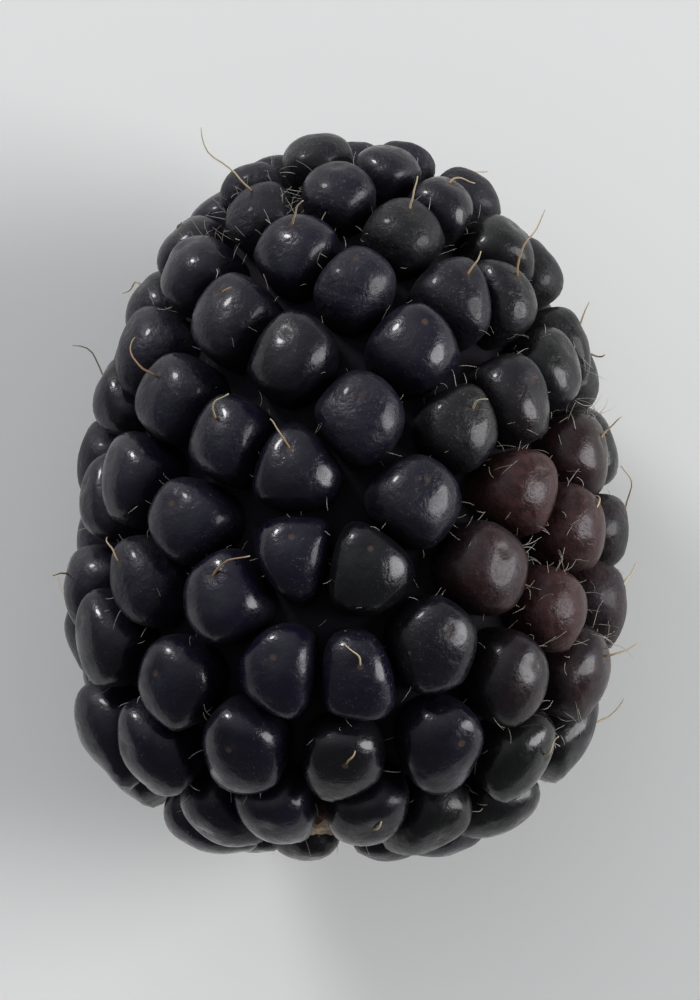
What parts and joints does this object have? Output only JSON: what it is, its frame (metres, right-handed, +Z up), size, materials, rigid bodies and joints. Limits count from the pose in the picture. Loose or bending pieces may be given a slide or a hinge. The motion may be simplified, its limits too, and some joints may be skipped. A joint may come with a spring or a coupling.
{
  "type": "bramble berry",
  "caption": "Ripe black bramble berry lying on its side: rounded glossy drupelets grown together round the pale plug of the receptacle at the stem end.",
  "frame": {"origin": "Middle of the berry's outline seen from above, on the surface that it lies on.", "axes": "+Z is up. The berry lies on its side, with its tip towards +Y and its stem end, with the receptacle, towards -Y."},
  "size_m": [0.0256, 0.0332, 0.0242],
  "materials": {
    "drupelets": "taut glossy skin, blue-black, with a few drupelets still dark red",
    "receptacle": "pale cream pith, matt and fibrous, browner in its middle"
  },
  "bodies": {
    "root": {"drupelets": "drupelets", "receptacle": "receptacle"}
  },
  "joints": []
}
